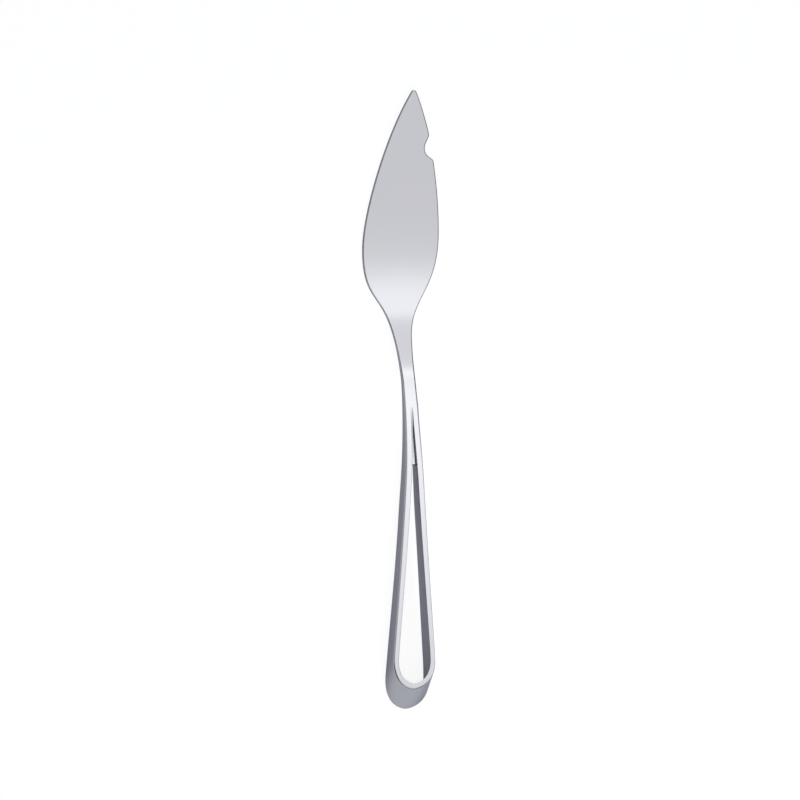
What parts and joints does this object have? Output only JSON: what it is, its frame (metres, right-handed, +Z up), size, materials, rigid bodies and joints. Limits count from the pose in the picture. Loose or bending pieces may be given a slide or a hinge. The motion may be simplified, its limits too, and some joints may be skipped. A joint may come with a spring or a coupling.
{
  "type": "fish knife",
  "caption": "Fish knife in one piece of steel: a flat spatula blade with a bone notch near its tip, and an open loop handle that stands on edge.",
  "frame": {"origin": "on the table, under the middle of the knife's box as it lies at rest", "axes": "+Y towards the blade's tip, +Z up from the table, +X towards the edge with the bone notch"},
  "size_m": [0.0264, 0.2098, 0.012],
  "materials": {
    "steel": "satin polished stainless steel, all over"
  },
  "bodies": {
    "root": {"fish_knife": "steel"}
  },
  "joints": []
}
